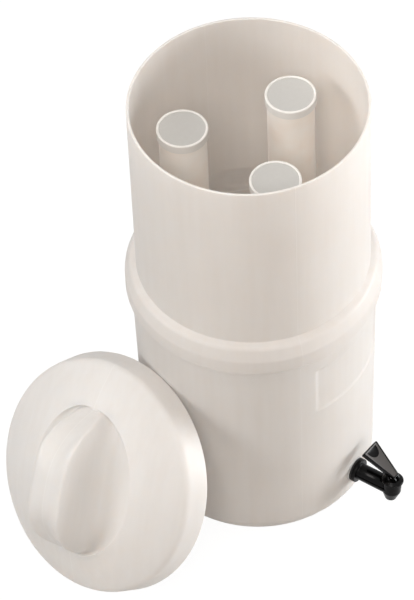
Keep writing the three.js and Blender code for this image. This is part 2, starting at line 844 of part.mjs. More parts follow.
// The pockets sink beside the grip and fade out at its two ends
function pocketAt(x, y, depthShare) {
  const aside = Math.abs(y) / Math.max(Math.hypot((x * gripWidth) / gripLength, y), Number.EPSILON);
  return domeAt(x, y) - lidPocketDepth * depthShare * aside;
}

function lidOuterRings() {
  const shoulderRadius = lidRimRadius - lidSkirtDraft;
  const skirt = [[lidRimRadius, 0], [shoulderRadius, lidSkirtHeight]].map(([radius, height]) =>
    lidRing(radius, radius, 1, () => height));
  const shoulder = Array.from({ length: shoulderSteps }, (_, i) => {
    const sweep = (rad(lidShoulderSweep) * (i + 1)) / shoulderSteps;
    const radius = shoulderRadius - lidShoulderRadius * (1 - Math.cos(sweep));
    return lidRing(radius, radius, 1, () => lidSkirtHeight + lidShoulderRadius * Math.sin(sweep));
  });
  const ovalLength = lidOvalLength / 2;
  const ovalWidth = lidOvalWidth / 2;
  const dome = domeShares.map((share) =>
    lidRing(lerp(shoulderTop.radius, ovalLength, share), lerp(shoulderTop.radius, ovalWidth, share), 1, domeAt));
  const pockets = pocketShares.map(([share, depthShare, riseShare]) =>
    lidRing(
      lerp(ovalLength, gripLength / 2, share),
      lerp(ovalWidth, gripWidth / 2, share),
      lerp(1, gripPlanPower, share),
      (x, y) => lerp(pocketAt(x, y, depthShare), archAt(x), riseShare),
    ));
  const crest = crestShares.map(([lengthShare, widthShare, riseShare]) =>
    lidRing(
      (lengthShare * gripLength) / 2,
      (widthShare * gripWidth) / 2,
      gripPlanPower,
      (x, y) => lerp(pocketAt(x, y, 1), archAt(x), riseShare),
    ));
  return [...skirt, ...shoulder, ...dome, ...pockets, ...crest];
}

// The inner face of the skin, one wall thickness in along the surface's own normals
function thickened(rings, wall) {
  return rings.map((ring, k) =>
    ring.map((point, i) => {
      const along = ring[(i + 1) % ring.length].clone().sub(ring.at(i - 1));
      const next = rings[Math.min(k + 1, rings.length - 1)][i];
      const previous = rings[Math.max(k - 1, 0)][i];
      const across = next.clone().sub(previous);
      const normal = along.cross(across).normalize();
      const inner = point.clone().addScaledVector(normal, -wall);
      if (k === 0) inner.z = point.z;
      return inner;
    }));
}

function lidShell() {
  const outer = lidOuterRings();
  const inner = thickened(outer, lidWall).reverse();
  const crest = new THREE.Vector3(0, 0, gripHeight);
  const underCrest = new THREE.Vector3(0, 0, gripHeight - lidWall);
  return loft(underCrest, [...inner, ...outer], crest);
}

function lidMatrix(distance) {
  const direction = rad(leanDirection);
  const height = lidRimRadius * Math.cos(rad(leanRise));
  return new THREE.Matrix4()
    .makeTranslation(distance * Math.cos(direction), distance * Math.sin(direction), height)
    .multiply(new THREE.Matrix4().makeRotationZ(rad(leanFacing)))
    .multiply(new THREE.Matrix4().makeRotationY(quarterTurn - rad(leanRise)));
}

// Slides the tilted rim in from afar until its nearest point is one gap away from the vessel's wall
function leanDistance() {
  const rimGap = (distance) => {
    const place = lidMatrix(distance);
    const gaps = Array.from({ length: rimSamples }, (_, i) => {
      const angle = (i * fullTurn) / rimSamples;
      return [lidRimRadius, lidRimRadius - lidWall].map((radius) => {
        const point = new THREE.Vector3(radius * Math.cos(angle), radius * Math.sin(angle), 0);
        point.applyMatrix4(place);
        return Math.hypot(point.x, point.y) - lowerRadiusAt(Math.max(point.z, 0));
      });
    });
    return Math.min(...gaps.flat());
  };
  let near = lowerBaseRadius / 2;
  let far = 2 * (lowerBaseRadius + lidRimRadius);
  for (let i = 0; i < halvings; i++) {
    const middle = (near + far) / 2;
    if (rimGap(middle) < seatGap) near = middle;
    else far = middle;
  }
  return far;
}

function lid() {
  const group = new THREE.Group();
  group.applyMatrix4(lidMatrix(leanDistance()));
  const shell = named("lid", lidShell(), milkyPlastic);
  shell.rotation.z = rad(leanSpin);
  group.add(shell);
  return group;
}

// The whole filter

const filter = new THREE.Group();
filter.add(named("lower_vessel", lowerVessel(), milkyPlastic));
filter.add(named("upper_vessel", upperVessel(), milkyPlastic));
candlePlaces().forEach((place, i) => filter.add(candle(i + 1, place)));
filter.add(tap());
filter.add(lid());

export default filter;
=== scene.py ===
# Dresses a two-tier gravity water filter: moulded vessels, ceramic candles, a lever tap and a lid
import json
import math
import bmesh
import bpy
from mathutils import Matrix, Vector


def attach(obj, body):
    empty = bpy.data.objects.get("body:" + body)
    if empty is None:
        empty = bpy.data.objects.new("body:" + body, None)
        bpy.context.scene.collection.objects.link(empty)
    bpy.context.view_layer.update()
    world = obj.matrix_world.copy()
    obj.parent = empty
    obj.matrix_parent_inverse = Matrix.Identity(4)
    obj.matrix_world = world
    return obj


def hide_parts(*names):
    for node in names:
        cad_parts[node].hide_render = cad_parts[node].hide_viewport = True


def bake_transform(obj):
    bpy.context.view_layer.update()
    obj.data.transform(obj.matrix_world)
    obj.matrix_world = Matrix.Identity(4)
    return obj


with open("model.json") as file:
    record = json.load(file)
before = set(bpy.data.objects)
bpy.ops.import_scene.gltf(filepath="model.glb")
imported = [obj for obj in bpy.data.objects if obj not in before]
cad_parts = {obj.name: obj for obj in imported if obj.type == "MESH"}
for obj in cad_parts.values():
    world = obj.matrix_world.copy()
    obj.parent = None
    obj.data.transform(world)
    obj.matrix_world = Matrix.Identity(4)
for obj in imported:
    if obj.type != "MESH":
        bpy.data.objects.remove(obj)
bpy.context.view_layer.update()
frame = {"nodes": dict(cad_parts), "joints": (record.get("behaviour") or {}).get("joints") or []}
mm = 0.001
print("frame loaded:", len(frame["nodes"]), "nodes")


# Colours are written as sRGB hex, and the sRGB curve turns them to linear here
def linearColour(hexCode):
    shares = [int(hexCode[i:i + 2], 16) / 255 for i in (1, 3, 5)]
    bend = lambda s: s / 12.92 if s <= 0.04045 else ((s + 0.055) / 1.055) ** 2.4
    return (*map(bend, shares), 1)


# An input is given a value, a socket, or a node, whose first output is then taken
def addNode(tree, kind, inputs=None, **settings):
    node = tree.nodes.new(kind)
    for name, value in settings.items():
        setattr(node, name, value)
    for socket, value in (inputs or {}).items():
        if isinstance(value, bpy.types.Node):
            value = value.outputs[0]
        if isinstance(value, bpy.types.NodeSocket):
            tree.links.new(value, node.inputs[socket])
        else:
            node.inputs[socket].default_value = value
    return node


def newMaterial(name):
    material = bpy.data.materials.new(name)
    material.use_nodes = True
    material.node_tree.nodes.clear()
    return material, material.node_tree


# What a noise pattern is given, its size and detail from the finish's own values
def patternInputs(look, name, where):
    return {"Vector": where, "Scale": 1 / look[name], "Detail": look[f"{name}Detail"]}


# A pattern also makes the gloss a little uneven
def unevenGloss(tree, look, pattern):
    low, high = look["glossSpread"]
    return addNode(tree, "ShaderNodeMapRange", {
        "Value": pattern, "To Min": look["roughness"] + low, "To Max": look["roughness"] + high,
    })


# The camera that took the photograph, found from the vessels' rims and walls
cameraView = {
    "sensor": 36,
    "lens": 220.85,
    "farEnd": 50,
    "place": (0, -2.6252, 3.3299),
    "right": (0.99940805, -0.01583176, -0.03054338),
    "up": (0.03187846, 0.7599749, 0.64917017),
}


def placeCamera():
    data = bpy.data.cameras.new("photoCamera")
    data.sensor_width = cameraView["sensor"]
    data.lens = cameraView["lens"]
    data.clip_end = cameraView["farEnd"]
    camera = bpy.data.objects.new("photoCamera", data)
    right, up = Vector(cameraView["right"]), Vector(cameraView["up"])
    turn = Matrix((right, up, right.cross(up))).transposed().to_4x4()
    camera.matrix_world = Matrix.Translation(cameraView["place"]) @ turn
    bpy.context.scene.collection.objects.link(camera)
    bpy.context.scene.camera = camera


placeCamera()
print("camera placed")

# Axes of the lid and of the tap, which the joints give
jointByName = {joint["name"]: joint for joint in frame["joints"]}
lidAxis = Vector(jointByName["lid_lift"]["axis"]).normalized()
tapUp = Vector(jointByName["stem_lift"]["axis"]).normalized()
tapSide = Vector(jointByName["lever_turn"]["axis"]).normalized()
tapOut = tapSide.cross(tapUp).normalized()

# Natural polyethylene, blow moulded: milky and a little see-through, satin, with faint flow marks
polyethylene = {
    "vessel": {"light": "#E9E5E1", "deep": "#E5E0DB", "clearness": 0.25},
    "lid": {"light": "#E4E1DE", "deep": "#E0DCD8", "clearness": 0.1},
    "roughness": 0.5,
    "glossSpread": (-0.04, 0.06),
    "ior": 1.54,
    "toneRange": (0.7, 1.3),        # sums of clouds and flow that give the pale and the deep tone
    "cloud": 70 * mm,               # soft clouds where the wall is thicker
    "cloudDetail": 3,
    "flow": 9 * mm,                 # flow marks run down the wall
    "flowDetail": 2,
    "flowStretch": 0.93,            # the share of the height that is taken out of them
    "ripple": 22 * mm,              # slow waves that a cooling wall keeps
    "rippleDetail": 1,
    "rippleHeight": 0.18 * mm,
    "rippleStrength": 0.5,
    "partingAngle": -69.5,          # degrees, where the halves of the vessels' mould meet
    "seam": "#FAF9F7",
    "seamShare": 0.18,
    "seamWidth": 0.9 * mm,
    "scatter": 0.9,
    "reach": 4 * mm,                # how far light spreads inside the wall
    "reachTint": (1.0, 0.92, 0.85),  # red light spreads furthest
    "glow": "#FBF8F5",
}


def milkyPolyethylene(name, wallKind, seamNormal, seamOffset=0.0, flowAxis=(0, 0, 1)):
    look = {**polyethylene, **polyethylene[wallKind]}
    material, tree = newMaterial(name)
    where = addNode(tree, "ShaderNodeTexCoord").outputs["Object"]
    clouds = addNode(tree, "ShaderNodeTexNoise", patternInputs(look, "cloud", where))
    # Taking most of the height out of the coordinates draws the noise out into flow marks
    along = addNode(tree, "ShaderNodeVectorMath", {0: where, 1: flowAxis}, operation="DOT_PRODUCT")
    rise = addNode(tree, "ShaderNodeVectorMath", {
        0: flowAxis, "Scale": along.outputs["Value"],
    }, operation="SCALE")
    taken = addNode(tree, "ShaderNodeVectorMath", {
        0: rise, "Scale": look["flowStretch"],
    }, operation="SCALE")
    flat = addNode(tree, "ShaderNodeVectorMath", {0: where, 1: taken}, operation="SUBTRACT")
    flow = addNode(tree, "ShaderNodeTexNoise", patternInputs(look, "flow", flat))
    both = addNode(tree, "ShaderNodeMath", {0: clouds, 1: flow}, operation="ADD")
    low, high = look["toneRange"]
    share = addNode(tree, "ShaderNodeMapRange", {"Value": both, "From Min": low, "From Max": high})
    wall = addNode(tree, "ShaderNodeMix", {
        "Factor": share, "A": linearColour(look["light"]), "B": linearColour(look["deep"]),
    }, data_type="RGBA")
    # The parting line of the two mould halves is a fine raised line in one plane
    across = addNode(tree, "ShaderNodeVectorMath", {0: where, 1: seamNormal}, operation="DOT_PRODUCT")
    away = addNode(tree, "ShaderNodeMath", {
        0: across.outputs["Value"], 1: seamOffset,
    }, operation="SUBTRACT")
    gap = addNode(tree, "ShaderNodeMath", {0: away}, operation="ABSOLUTE")
    line = addNode(tree, "ShaderNodeMapRange", {
        "Value": gap, "From Min": look["seamWidth"], "From Max": 0.0,
    }, interpolation_type="SMOOTHSTEP")
    faint = addNode(tree, "ShaderNodeMath", {0: line, 1: look["seamShare"]}, operation="MULTIPLY")
    colour = addNode(tree, "ShaderNodeMix", {
        "Factor": faint, "A": wall.outputs["Result"], "B": linearColour(look["seam"]),
    }, data_type="RGBA")
    waves = addNode(tree, "ShaderNodeTexNoise", patternInputs(look, "ripple", where))
    relief = addNode(tree, "ShaderNodeMath", {0: waves, 1: line}, operation="ADD")
    bump = addNode(tree, "ShaderNodeBump", {
        "Height": relief, "Strength": look["rippleStrength"], "Distance": look["rippleHeight"],
    })
    surface = addNode(tree, "ShaderNodeBsdfPrincipled", {
        "Base Color": colour.outputs["Result"], "IOR": look["ior"], "Normal": bump,
        "Roughness": unevenGloss(tree, look, clouds),
        "Subsurface Weight": look["scatter"], "Subsurface Radius": look["reachTint"],
        "Subsurface Scale": look["reach"],
    })
    # Daylight passes through the thin wall, and lights up what stands inside it
    through = addNode(tree, "ShaderNodeBsdfTranslucent", {"Color": linearColour(look["glow"])})
    milky = addNode(tree, "ShaderNodeMixShader", {0: look["clearness"], 1: surface, 2: through})
    addNode(tree, "ShaderNodeOutputMaterial", {"Surface": milky})
    return material


# Slip-cast diatomite ceramic, fired without glaze: cream, chalky and finely pitted
ceramic = {
    "pale": "#FFFAF3",
    "warm": "#FDF1E5",
    "roughness": 0.92,
    "ior": 1.5,
    "bloom": 0.5,           # loose mineral dust brightens the grazed edges
    "bloomRoughness": 0.5,
    "patch": 30 * mm,
    "patchDetail": 5,
    "patchRange": (0.3, 0.7),
    "pit": 2.2 * mm,        # real pits are under 0.1 mm: drawn coarser so that they show
    "pitDetail": 4,
    "pitDepth": 0.12 * mm,
    "pitStrength": 0.6,
}


def slipCastCeramic():
    look = ceramic
    material, tree = newMaterial("slipCastCeramic")
    where = addNode(tree, "ShaderNodeTexCoord").outputs["Object"]
    patches = addNode(tree, "ShaderNodeTexNoise", patternInputs(look, "patch", where))
    low, high = look["patchRange"]
    share = addNode(tree, "ShaderNodeMapRange", {
        "Value": patches, "From Min": low, "From Max": high,
    })
    colour = addNode(tree, "ShaderNodeMix", {
        "Factor": share, "A": linearColour(look["pale"]), "B": linearColour(look["warm"]),
    }, data_type="RGBA")
    pits = addNode(tree, "ShaderNodeTexNoise", patternInputs(look, "pit", where))
    bump = addNode(tree, "ShaderNodeBump", {
        "Height": pits, "Strength": look["pitStrength"], "Distance": look["pitDepth"],
    })
    surface = addNode(tree, "ShaderNodeBsdfPrincipled", {
        "Base Color": colour.outputs["Result"], "Roughness": look["roughness"], "IOR": look["ior"],
        "Sheen Weight": look["bloom"], "Sheen Roughness": look["bloomRoughness"],
        "Normal": bump,
    })
    addNode(tree, "ShaderNodeOutputMaterial", {"Surface": surface})
    return material


# Small plastic and rubber parts: the mould's polish sets their gloss. Its grain is under 0.1 mm on
# the real ones, and is drawn coarser so that it shows
mouldings = {
    # Moulded polypropylene: an even off-white with a soft shine
    "paleCapPlastic": {
        "tones": ("#F1EFEB", "#ECE9E4"), "roughness": 0.5, "ior": 1.49,
        "grain": 3 * mm, "relief": 0.03 * mm,
    },
    # Grey disc in the candle caps' recess: painted shade that leaves the pale rim looking lit, flat and
    # grey
    "capTopPaintedShade": {
        "tones": ("#C6C5C1", "#C1BFBB"), "roughness": 0.55, "ior": 1.47,
        "grain": 4 * mm, "relief": 0.01 * mm,
    },
    # Acetal from a polished mould: deep black with small glints, its index kept low so that the
    # white room doesn't grey it
    "blackAcetal": {
        "tones": ("#040404", "#070606"), "roughness": 0.2, "ior": 1.22,
        "grain": 5 * mm, "relief": 0.05 * mm,
    },
    # Acetal with a spark-eroded texture: a dull dark grey field, its grey partly the texture and partly
    # painted sheen of the light on the lever's top
    "texturedAcetalPaintedSheen": {
        "tones": ("#3A3735", "#45413F"), "roughness": 0.5, "ior": 1.45,
        "grain": 1.2 * mm, "relief": 0.08 * mm,
    },
    # Moulded nitrile rubber: black and matt
    "blackNitrileRubber": {
        "tones": ("#1D1D1D", "#252525"), "roughness": 0.75, "ior": 1.52,
        "grain": 2 * mm, "relief": 0.04 * mm,
    },
    # Moulded silicone rubber: pale grey, half dull
    "clearSiliconeRubber": {
        "tones": ("#D9D4CE", "#CEC8C1"), "roughness": 0.55, "ior": 1.41,
        "grain": 4 * mm, "relief": 0.03 * mm,
    },
}
mouldGrain = {"grainDetail": 3, "reliefStrength": 0.5, "glossSpread": (-0.05, 0.08)}


def mouldedPlastic(name):
    look = {**mouldGrain, **mouldings[name]}
    material, tree = newMaterial(name)
    where = addNode(tree, "ShaderNodeTexCoord").outputs["Object"]
    grain = addNode(tree, "ShaderNodeTexNoise", patternInputs(look, "grain", where))
    first, second = map(linearColour, look["tones"])
    colour = addNode(tree, "ShaderNodeMix", {
        "Factor": grain, "A": first, "B": second,
    }, data_type="RGBA")
    bump = addNode(tree, "ShaderNodeBump", {
        "Height": grain, "Strength": look["reliefStrength"], "Distance": look["relief"],
    })
    surface = addNode(tree, "ShaderNodeBsdfPrincipled", {
        "Base Color": colour.outputs["Result"], "IOR": look["ior"], "Normal": bump,
        "Roughness": unevenGloss(tree, look, grain),
    })
    addNode(tree, "ShaderNodeOutputMaterial", {"Surface": surface})
    return material


# Hard-drawn stainless wire: bright, with fine die marks
steelWire = {
    "colour": "#C9C8C5", "roughness": 0.3, "glossSpread": (-0.08, 0.08),
    "dieMark": 0.4 * mm,    # real marks are finer still: drawn coarser so that they show
    "dieMarkDetail": 2,
}


def drawnSteel():
    look = steelWire
    material, tree = newMaterial("drawnSteel")
    where = addNode(tree, "ShaderNodeTexCoord").outputs["Object"]
    marks = addNode(tree, "ShaderNodeTexNoise", patternInputs(look, "dieMark", where))
    surface = addNode(tree, "ShaderNodeBsdfPrincipled", {
        "Base Color": linearColour(look["colour"]), "Metallic": 1.0,
        "Roughness": unevenGloss(tree, look, marks),
    })
    addNode(tree, "ShaderNodeOutputMaterial", {"Surface": surface})
    return material


partingAngle = math.radians(polyethylene["partingAngle"])
partingNormal = (-math.sin(partingAngle), math.cos(partingAngle), 0)
finish = {name: mouldedPlastic(name) for name in mouldings}
finish["slipCastCeramic"] = slipCastCeramic()
finish["drawnSteel"] = drawnSteel()
finish["vesselPolyethylene"] = milkyPolyethylene("vesselPolyethylene", "vessel", partingNormal)
print("materials made:", len(finish))

# Outlines to be turned are lists of (radius, height, corner rounding) in millimetres
turning = {
    "steps": 7,             # spans on each rounding
    "support": 0.7,         # a point this far past a rounding keeps the flat beside it flat
    "sideShare": 0.47,      # the most of a side that one rounding takes
    "weld": 0.002,          # points nearer than this become one
    "sides": 96,
}


def roundedOutline(corners):
    steps, support = turning["steps"], turning["support"]
    points = []
    for i, (x, z, radius) in enumerate(corners):
        corner = Vector((x, z))
        if radius == 0:
            points.append(corner)
            continue
        before = Vector(corners[i - 1][:2]) - corner
        after = Vector(corners[i + 1][:2]) - corner
        half = before.angle(after) / 2
        longest = turning["sideShare"] * min(before.length, after.length)
        reach = min(radius / math.tan(half), longest)
        fitted = reach * math.tan(half)
        middle = (before.normalized() + after.normalized()).normalized()
        centre = corner + middle * fitted / math.sin(half)
        first, last = before.normalized() * reach, after.normalized() * reach
        start, end = corner + first - centre, corner + last - centre
        sweep = math.pi - 2 * half
        if before.length > 2 * (reach + support):
            points.append(corner + before.normalized() * (reach + support))
        for step in range(steps + 1):
            share = step / steps
            a, b = math.sin((1 - share) * sweep), math.sin(share * sweep)
            points.append(centre + (start * a + end * b) / math.sin(sweep))
        if after.length > 2 * (reach + support):
            points.append(corner + after.normalized() * (reach + support))
    return points


# A tree with named inputs and one output, its geometry
def newTree(name, sockets):
    tree = bpy.data.node_groups.new(name, "GeometryNodeTree")
    for socket, kind in sockets:
        tree.interface.new_socket(name=socket, in_out="INPUT", socket_type=f"NodeSocket{kind}")
    tree.interface.new_socket(name="Geometry", in_out="OUTPUT", socket_type="NodeSocketGeometry")
    return tree, addNode(tree, "NodeGroupInput").outputs


# Both trees end by making instances real and setting the material
def finishTree(tree, geometry, material):
    real = addNode(tree, "GeometryNodeRealizeInstances", {"Geometry": geometry})
    finished = addNode(tree, "GeometryNodeSetMaterial", {"Geometry": real, "Material": material})
    addNode(tree, "NodeGroupOutput", {0: finished})
    return tree


# Turns an outline about Z and repeats it round a circle
def turnedTree():
    tree, given = newTree("turnedShape", [
        ("Outline", "Geometry"), ("Sides", "Int"), ("Copies", "Int"),
        ("Pitch Radius", "Float"), ("First Angle", "Float"), ("Finish", "Material"),
    ])

    # How far round the circle one of several even steps lies
    def evenTurn(step, steps):
        share = addNode(tree, "ShaderNodeMath", {0: step, 1: steps}, operation="DIVIDE")
        return addNode(tree, "ShaderNodeMath", {0: share, 1: 2 * math.pi}, operation="MULTIPLY")

    count = addNode(tree, "GeometryNodeAttributeDomainSize", {
        "Geometry": given["Outline"],
    }, component="MESH")
    perRing = count.outputs["Point Count"]
    columns = addNode(tree, "ShaderNodeMath", {0: given["Sides"], 1: 1.0}, operation="ADD")
    grid = addNode(tree, "GeometryNodeMeshGrid", {"Vertices X": columns, "Vertices Y": perRing})
    index = addNode(tree, "GeometryNodeInputIndex")
    # A grid's points run along one column after another
    row = addNode(tree, "ShaderNodeMath", {0: index, 1: perRing}, operation="MODULO")
    ratio = addNode(tree, "ShaderNodeMath", {0: index, 1: perRing}, operation="DIVIDE")
    column = addNode(tree, "ShaderNodeMath", {0: ratio}, operation="FLOOR")
    angle = evenTurn(column, given["Sides"])
    place = addNode(tree, "GeometryNodeInputPosition")
    outlinePoint = addNode(tree, "GeometryNodeSampleIndex", {
        "Geometry": given["Outline"], "Value": place, "Index": row,
    }, data_type="FLOAT_VECTOR", domain="POINT")
    turned = addNode(tree, "ShaderNodeVectorRotate", {
        "Vector": outlinePoint, "Angle": angle,
    }, rotation_type="Z_AXIS")
    skin = addNode(tree, "GeometryNodeSetPosition", {
        "Geometry": grid.outputs["Mesh"], "Position": turned,
    })
    welded = addNode(tree, "GeometryNodeMergeByDistance", {
        "Geometry": skin, "Distance": turning["weld"] * mm,
    })
    smooth = addNode(tree, "GeometryNodeSetShadeSmooth", {"Geometry": welded})
    # One point for each copy, spread evenly round the pitch circle
    spots = addNode(tree, "GeometryNodePoints", {"Count": given["Copies"]})
    spotAngle = addNode(tree, "ShaderNodeMath", {
        0: evenTurn(index, given["Copies"]), 1: given["First Angle"],
    }, operation="ADD")
    spoke = addNode(tree, "ShaderNodeCombineXYZ", {"X": given["Pitch Radius"]})
    spot = addNode(tree, "ShaderNodeVectorRotate", {
        "Vector": spoke, "Angle": spotAngle,
    }, rotation_type="Z_AXIS")
    spread = addNode(tree, "GeometryNodeSetPosition", {"Geometry": spots, "Position": spot})
    facing = addNode(tree, "ShaderNodeCombineXYZ", {"Z": spotAngle})
    copies = addNode(tree, "GeometryNodeInstanceOnPoints", {
        "Points": spread, "Instance": smooth, "Rotation": facing,
    })
    return finishTree(tree, copies, given["Finish"])


# Sinks a panel with sloped edges into a round wall
def sunkPanelTree():
    sizes = (
        "Wall Radius", "Wall Reach", "Middle Angle", "Half Width", "Bottom", "Top", "Edge", "Depth",
    )
    tree, given = newTree("sunkPanel", [
        ("Wall", "Geometry"), *[(size, "Float") for size in sizes], ("Finish", "Material"),
    ])
    place = addNode(tree, "GeometryNodeInputPosition")
    backTurn = addNode(tree, "ShaderNodeMath", {0: given["Middle Angle"], 1: -1.0}, operation="MULTIPLY")
    centred = addNode(tree, "ShaderNodeVectorRotate", {
        "Vector": place, "Angle": backTurn,
    }, rotation_type="Z_AXIS")
    parts = addNode(tree, "ShaderNodeSeparateXYZ", {0: centred}).outputs
    angle = addNode(tree, "ShaderNodeMath", {0: parts["Y"], 1: parts["X"]}, operation="ARCTAN2")
    aside = addNode(tree, "ShaderNodeMath", {0: angle}, operation="ABSOLUTE")
    arc = addNode(tree, "ShaderNodeMath", {0: aside, 1: given["Wall Radius"]}, operation="MULTIPLY")
    fromSide = addNode(tree, "ShaderNodeMath", {
        0: given["Half Width"], 1: arc,
    }, operation="SUBTRACT")
    fromBottom = addNode(tree, "ShaderNodeMath", {0: parts["Z"], 1: given["Bottom"]}, operation="SUBTRACT")
    fromTop = addNode(tree, "ShaderNodeMath", {0: given["Top"], 1: parts["Z"]}, operation="SUBTRACT")
    fromEnd = addNode(tree, "ShaderNodeMath", {0: fromBottom, 1: fromTop}, operation="MINIMUM")
    inside = addNode(tree, "ShaderNodeMath", {0: fromSide, 1: fromEnd}, operation="MINIMUM")
    depth = addNode(tree, "ShaderNodeMapRange", {
        "Value": inside, "From Max": given["Edge"], "To Max": given["Depth"],
    }, interpolation_type="SMOOTHSTEP")
    flat = addNode(tree, "ShaderNodeVectorMath", {0: place, 1: (1, 1, 0)}, operation="MULTIPLY")
    outwards = addNode(tree, "ShaderNodeVectorMath", {0: flat}, operation="NORMALIZE")
    reach = addNode(tree, "ShaderNodeVectorMath", {0: flat}, operation="LENGTH")
    # The moulded wall keeps its thickness, so its inner face sinks with the outer one
    inner = addNode(tree, "ShaderNodeMath", {
        0: given["Wall Radius"], 1: given["Wall Reach"],
    }, operation="SUBTRACT")
    onWall = addNode(tree, "ShaderNodeMath", {
        0: reach.outputs["Value"], 1: inner,
    }, operation="GREATER_THAN")
    masked = addNode(tree, "ShaderNodeMath", {0: depth, 1: onWall}, operation="MULTIPLY")
    sunk = addNode(tree, "ShaderNodeMath", {0: masked, 1: -1.0}, operation="MULTIPLY")
    shift = addNode(tree, "ShaderNodeVectorMath", {0: outwards, "Scale": sunk}, operation="SCALE")
    moved = addNode(tree, "GeometryNodeSetPosition", {"Geometry": given["Wall"], "Offset": shift})
    return finishTree(tree, moved, given["Finish"])


turnedShape = turnedTree()
sunkPanel = sunkPanelTree()


def addTree(piece, tree, values):
    modifier = piece.modifiers.new(tree.name, "NODES")
    modifier.node_group = tree
    for socket in tree.interface.items_tree:
        if socket.in_out == "INPUT" and socket.name in values:
            modifier[socket.identifier] = values[socket.name]


def newPiece(name, mesh):
    piece = bpy.data.objects.new(name, mesh)
    bpy.context.scene.collection.objects.link(piece)
    return piece


# Turns what the modifiers make into the piece's own plain mesh, facing outwards
def settle(piece, place=None):
    graph = bpy.context.evaluated_depsgraph_get()
    mesh = bpy.data.meshes.new_from_object(piece.evaluated_get(graph), depsgraph=graph)
    piece.modifiers.clear()
    old, piece.data = piece.data, mesh
    bpy.data.meshes.remove(old)
    shape = bmesh.new()
    shape.from_mesh(mesh)
    if shape.calc_volume(signed=True) < 0:
        bmesh.ops.reverse_faces(shape, faces=shape.faces)
    shape.to_mesh(mesh)
    shape.free()
    if place:
        mesh.transform(place)
    mesh.name = piece.name
    return piece


def turnedPiece(
    name, corners, material, sides=turning["sides"], copies=1, pitchRadius=0.0, firstAngle=0.0, place=None,
):
    mesh = bpy.data.meshes.new(name)
    mesh.from_pydata([(p.x * mm, 0, p.y * mm) for p in roundedOutline(corners)], [], [])
    piece = newPiece(name, mesh)
    addTree(piece, turnedShape, {
        "Sides": sides, "Copies": copies, "Pitch Radius": pitchRadius * mm,
        "First Angle": math.radians(firstAngle), "Finish": material,
    })
    return settle(piece, place)


def wear(piece, body, slot, *nodes):
    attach(piece, body)
    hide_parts(*nodes)


def joined(name, *pieces):
    with bpy.context.temp_override(active_object=pieces[0], selected_editable_objects=list(pieces)):
        bpy.ops.object.join()
    pieces[0].name = name
    return pieces[0]


# Tap frame: X outwards from the vessel's axis, Z up along the valve's stem
tapHeight = 46 * mm
tapTurn = Matrix((tapOut, tapSide, tapUp)).transposed().to_4x4()
tapPlace = Matrix.Translation((0, 0, tapHeight)) @ tapTurn
turnedToX = Matrix.Rotation(math.pi / 2, 4, "Y")

# Lower vessel: the pot that holds the filtered water
lowerVessel = {
    "height": 295.5, "baseRadius": 129.7, "topRadius": 133.4, "wall": 3, "corner": 24.1, "sides": 384,
    "ringHeights": (60, 120, 170),
    "beadHeight": 5.2, "beadProud": 3.4, "beadRounding": 1.7, "beadSlope": 0.9, "beadRoot": 0.6,
    "mouthRounding": 0.8,
    "panelBottom": 201, "panelTop": 273, "panelStart": -61.5, "panelEnd": -8,
    "panelEdge": 4, "panelSteps": 5, "panelDepth": 1.5, "panelReach": 8,
    "padRadius": 14.6, "padInner": 126, "padOuter": 130.8, "padRounding": 0.4,
}


def makeLowerVessel():
    v = lowerVessel
    beadBottom = v["height"] - v["beadHeight"]
    beadRadius = v["topRadius"] + v["beadProud"]
    radiusAt = lambda z: v["baseRadius"] + (v["topRadius"] - v["baseRadius"]) * z / beadBottom
    # Extra heights on both faces of the wall carry the sloped edges of the sunk panel
    steps = v["panelSteps"]
    edgeShares = [i / steps for i in range(-1, steps + 2)]
    heights = [v["panelBottom"] + share * v["panelEdge"] for share in edgeShares]
    heights += [v["panelTop"] - share * v["panelEdge"] for share in reversed(edgeShares)]
    outline = [
        (0, 0, 0), (v["baseRadius"], 0, v["corner"]),
        *[(radiusAt(z), z, 0) for z in (*v["ringHeights"], *heights)],
        (v["topRadius"], beadBottom, v["beadRoot"]),
        (beadRadius, beadBottom + v["beadSlope"], v["beadRounding"]),
        (beadRadius, v["height"], v["beadRounding"]),
        (v["topRadius"] - v["wall"], v["height"], v["mouthRounding"]),
        *[(radiusAt(z) - v["wall"], z, 0) for z in reversed(heights)],
        (v["baseRadius"] - v["wall"], v["wall"], v["corner"] - v["wall"]), (0, v["wall"], 0),
    ]
    plastic = finish["vesselPolyethylene"]
    pot = turnedPiece("lowerVesselShell", outline, plastic, sides=v["sides"])
    middle = math.radians((v["panelStart"] + v["panelEnd"]) / 2)
    halfWidth = math.radians(v["panelEnd"] - v["panelStart"]) / 2 * v["topRadius"]
    addTree(pot, sunkPanel, {
        "Wall Radius": radiusAt(v["panelTop"]) * mm, "Wall Reach": v["panelReach"] * mm,
        "Middle Angle": middle, "Half Width": halfWidth * mm,
        "Bottom": v["panelBottom"] * mm, "Top": v["panelTop"] * mm,
        "Edge": v["panelEdge"] * mm, "Depth": v["panelDepth"] * mm, "Finish": plastic,
    })
    settle(pot)
    pad = turnedPiece("tapPad", [
        (0, v["padInner"], 0), (v["padRadius"], v["padInner"], 0),
        (v["padRadius"], v["padOuter"], v["padRounding"]), (0, v["padOuter"], 0),
    ], plastic, place=tapPlace @ turnedToX)
    wear(joined("lowerVesselShell", pot, pad), "base", "milky_plastic", "lower_vessel")


makeLowerVessel()
print("lower vessel made")

